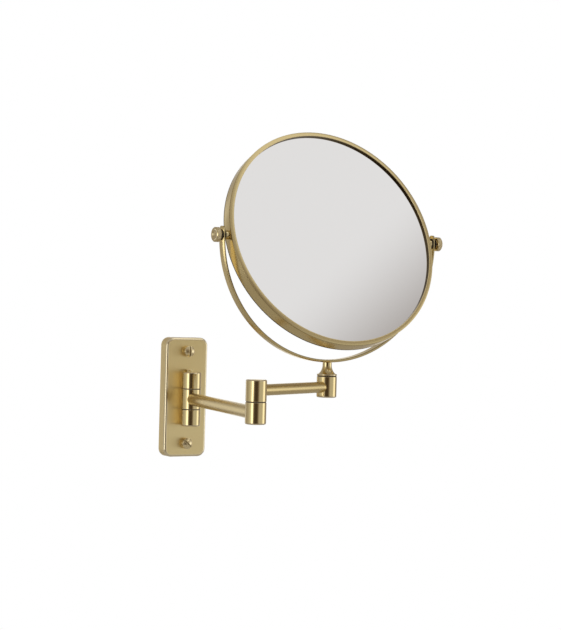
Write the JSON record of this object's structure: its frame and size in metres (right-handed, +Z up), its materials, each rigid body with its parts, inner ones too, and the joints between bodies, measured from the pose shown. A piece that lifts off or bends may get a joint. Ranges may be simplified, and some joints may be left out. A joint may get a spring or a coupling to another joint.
{
  "type": "pivot wall mirror",
  "caption": "Round two-sided mirror that tilts in a half-round bow on a folding two-part brass arm, hinged to a tall screwed wall plate.",
  "frame": {"origin": "centre of the wall plate's back face, on the wall", "axes": "+Y into the wall, square to the plate; +Z up; +X to the right of someone who faces the wall"},
  "size_m": [0.2264, 0.2372, 0.296],
  "materials": {
    "satin_brass": "brushed satin, clear lacquered",
    "bronze": "plain turned bearing bronze",
    "steel": "turned and zinc plated",
    "nylon": "moulded, matt",
    "mirror_glass": "silvered glass",
    "spacer_board": "pressed board"
  },
  "bodies": {
    "wall": {"wall_plate": "satin_brass", "hinge_bracket": "satin_brass", "wall_screw_upper": "satin_brass", "wall_screw_lower": "satin_brass", "bracket_screw_upper": "steel", "bracket_screw_lower": "steel", "hinge_pin": "steel", "hinge_washer_upper": "nylon", "hinge_washer_lower": "nylon"},
    "inner_arm": {"middle_knuckle": "satin_brass", "hinge_bush": "bronze", "inner_arm_tube": "satin_brass", "elbow_lower_barrel": "satin_brass", "elbow_pin": "steel", "elbow_washer": "nylon", "elbow_spring_washer": "steel", "elbow_nut": "steel"},
    "outer_arm": {"elbow_upper_barrel": "satin_brass", "elbow_bush": "bronze", "elbow_cap": "satin_brass", "outer_arm_tube": "satin_brass", "post_barrel": "satin_brass", "post_bush": "bronze"},
    "bow_frame": {"post_washer": "nylon", "swivel_neck": "satin_brass", "post_spring_washer": "steel", "post_nut": "steel", "bow": "satin_brass", "bow_screw": "satin_brass", "left_boss_washer": "nylon", "right_boss_washer": "nylon", "left_thumb_washer": "nylon", "right_thumb_washer": "nylon"},
    "mirror_head": {"mirror_band": "satin_brass", "front_bezel": "satin_brass", "rear_bezel": "satin_brass", "front_glass": "mirror_glass", "rear_glass": "mirror_glass", "glass_spacer": "spacer_board", "left_pivot_boss": "satin_brass", "right_pivot_boss": "satin_brass"},
    "left_thumb": {"left_thumb_screw": "satin_brass"},
    "right_thumb": {"right_thumb_screw": "satin_brass"}
  },
  "joints": [
    {"name": "wall_hinge", "type": "hinge", "parent": "wall", "child": "inner_arm", "pos_m": [0, -0.023, 0], "axis": [0, 0, 1], "range_deg": [-81.3, 98.7]},
    {"name": "elbow", "type": "hinge", "parent": "inner_arm", "child": "outer_arm", "pos_m": [-0.02723, -0.20093, 0.0175], "axis": [0, 0, 1], "continuous": true},
    {"name": "post_swivel", "type": "hinge", "parent": "outer_arm", "child": "bow_frame", "pos_m": [0.06625, -0.15534, 0.0178], "axis": [0, 0, 1], "continuous": true},
    {"name": "mirror_tilt", "type": "hinge", "parent": "bow_frame", "child": "mirror_head", "pos_m": [0.06625, -0.15534, 0.146], "axis": [1, 0, 0], "continuous": true},
    {"name": "left_thumb_turn", "type": "hinge", "parent": "mirror_head", "child": "left_thumb", "pos_m": [-0.045, -0.15534, 0.146], "axis": [-1, 0, 0], "range_deg": [0, 360]},
    {"name": "right_thumb_turn", "type": "hinge", "parent": "mirror_head", "child": "right_thumb", "pos_m": [0.1775, -0.15534, 0.146], "axis": [1, 0, 0], "range_deg": [0, 360]}
  ]
}
